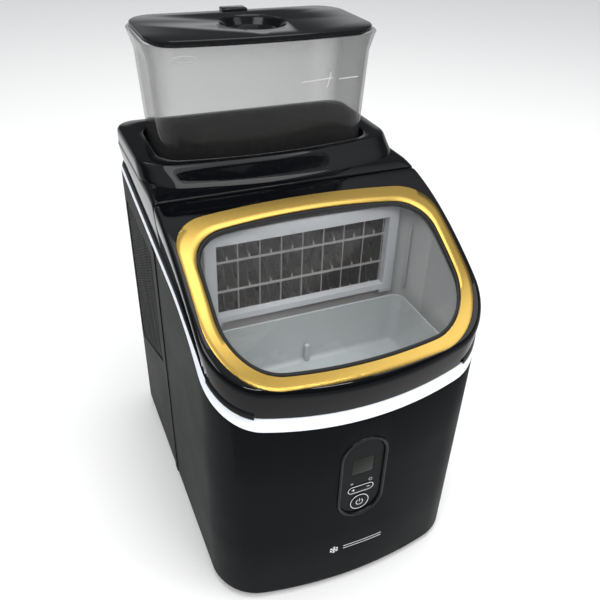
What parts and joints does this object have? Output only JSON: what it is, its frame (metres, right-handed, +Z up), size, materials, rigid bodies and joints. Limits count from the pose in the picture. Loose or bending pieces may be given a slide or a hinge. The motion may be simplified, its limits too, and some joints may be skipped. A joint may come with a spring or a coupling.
{
  "type": "ice maker",
  "caption": "Countertop ice maker: matte black body, hinged gloss lid with gold-framed window, white trim line, clear lift-off water tank and oval key panel.",
  "frame": {"origin": "on the floor plane under the middle of the body", "axes": "+Z up, the control panel faces -Y, +X to the right seen from the front"},
  "size_m": [0.2448, 0.333, 0.446],
  "materials": {
    "shell_black": "satin black, lightly textured",
    "vent_black": "matte black mesh",
    "gloss_black": "polished black",
    "trim_white": "satin white",
    "gold": "satin gold",
    "rubber_black": "matte",
    "clear": "clear",
    "liner_grey": "satin light grey",
    "basket_grey": "translucent light grey",
    "white_plastic": "satin white",
    "mould_metal": "dull dark plating",
    "copper": "copper tube",
    "steel": "plain",
    "zinc_sheet": "plain sheet",
    "compressor_black": "black enamel",
    "hose": "milky silicone",
    "board_green": "matte",
    "motor_grey": "satin",
    "dark_plastic": "matte",
    "panel_black": "polished black",
    "panel_grey": "satin dark grey",
    "display_dark": "dark window",
    "valve_blue": "matte"
  },
  "bodies": {
    "housing": {"base_tray": "shell_black", "foot_front_left": "rubber_black", "foot_front_right": "rubber_black", "foot_rear_left": "rubber_black", "foot_rear_right": "rubber_black", "front_shell": "shell_black", "rear_shell": "shell_black", "left_vent_grille": "vent_black", "right_vent_grille": "vent_black", "rear_grille": "vent_black", "trim_strip": "trim_white", "tank_collar": "gloss_black", "tank_well": "gloss_black", "well_port": "white_plastic", "left_hinge_pin": "steel", "right_hinge_pin": "steel", "left_hinge_bracket": "dark_plastic", "right_hinge_bracket": "dark_plastic", "bin_liner": "liner_grey", "evaporator_frame": "white_plastic", "evaporator_grid": "mould_metal", "evaporator_tube": "copper", "water_distributor": "white_plastic", "water_sump": "liner_grey", "circulation_pump": "dark_plastic", "pump_hose": "hose", "drain_hose": "hose", "water_level_probe": "dark_plastic", "divider_panel": "zinc_sheet", "compressor": "compressor_black", "compressor_mount_left": "rubber_black", "compressor_mount_right": "rubber_black", "compressor_mount_rear": "rubber_black", "condenser": "zinc_sheet", "fan_shroud": "dark_plastic", "fan_motor": "motor_grey", "filter_drier": "copper", "suction_line": "copper", "control_board": "board_green", "power_inlet": "dark_plastic", "panel_bezel": "panel_grey", "panel_plate": "panel_black", "display_window": "display_dark", "rear_screw_left": "steel", "rear_screw_right": "steel"},
    "lid": {"lid_frame": "gloss_black", "gold_band": "gold", "window_gasket": "rubber_black", "lid_window": "clear"},
    "tank": {"water_tank": "clear", "tank_valve_body": "white_plastic", "tank_valve_spring": "steel", "tank_seal": "rubber_black"},
    "tank_lid": {"tank_lid": "gloss_black"},
    "valve_plunger": {"tank_valve_plunger": "valve_blue"},
    "basket": {"ice_basket": "basket_grey"},
    "fan": {"fan_blade": "dark_plastic"},
    "power_button": {"power_button": "panel_black"},
    "select_key": {"select_key": "panel_black"},
    "drain_plug": {"drain_plug": "rubber_black"}
  },
  "joints": [
    {"name": "lid_hinge", "type": "hinge", "parent": "housing", "child": "lid", "pos_m": [0, -0.0038, 0.3269], "axis": [-1, 0, 0], "range_deg": [0, 105]},
    {"name": "tank_lift", "type": "slide", "parent": "housing", "child": "tank", "axis": [0, 0, 1], "range_m": [0, 0.06]},
    {"name": "tank_lid_lift", "type": "slide", "parent": "tank", "child": "tank_lid", "axis": [0, 0, 1], "range_m": [0, 0.04]},
    {"name": "valve_plunger_slide", "type": "slide", "parent": "tank", "child": "valve_plunger", "axis": [0, 0, 1], "range_m": [-0.0036, 0], "deforming": ["tank_valve_spring"]},
    {"name": "basket_lift", "type": "slide", "parent": "housing", "child": "basket", "axis": [0, 0, 1], "range_m": [0, 0.02]},
    {"name": "fan_spin", "type": "hinge", "parent": "housing", "child": "fan", "pos_m": [0.084, 0.095, 0.092], "axis": [1, 0, 0], "continuous": true},
    {"name": "power_press", "type": "slide", "parent": "housing", "child": "power_button", "axis": [0, 1, 0], "range_m": [0, 0.001], "stiffness_N_per_m": 800},
    {"name": "select_rock", "type": "hinge", "parent": "housing", "child": "select_key", "pos_m": [0, -0.1625, 0.1215], "axis": [0, 0, 1], "range_deg": [-3, 3], "stiffness_Nm_per_rad": 0.05},
    {"name": "drain_plug_pull", "type": "slide", "parent": "housing", "child": "drain_plug", "axis": [0, 1, 0], "range_m": [0, 0.015]}
  ],
  "couplings": [
    {"joint": "valve_plunger_slide", "follows": "tank_lift", "ratio": -0.06}
  ]
}
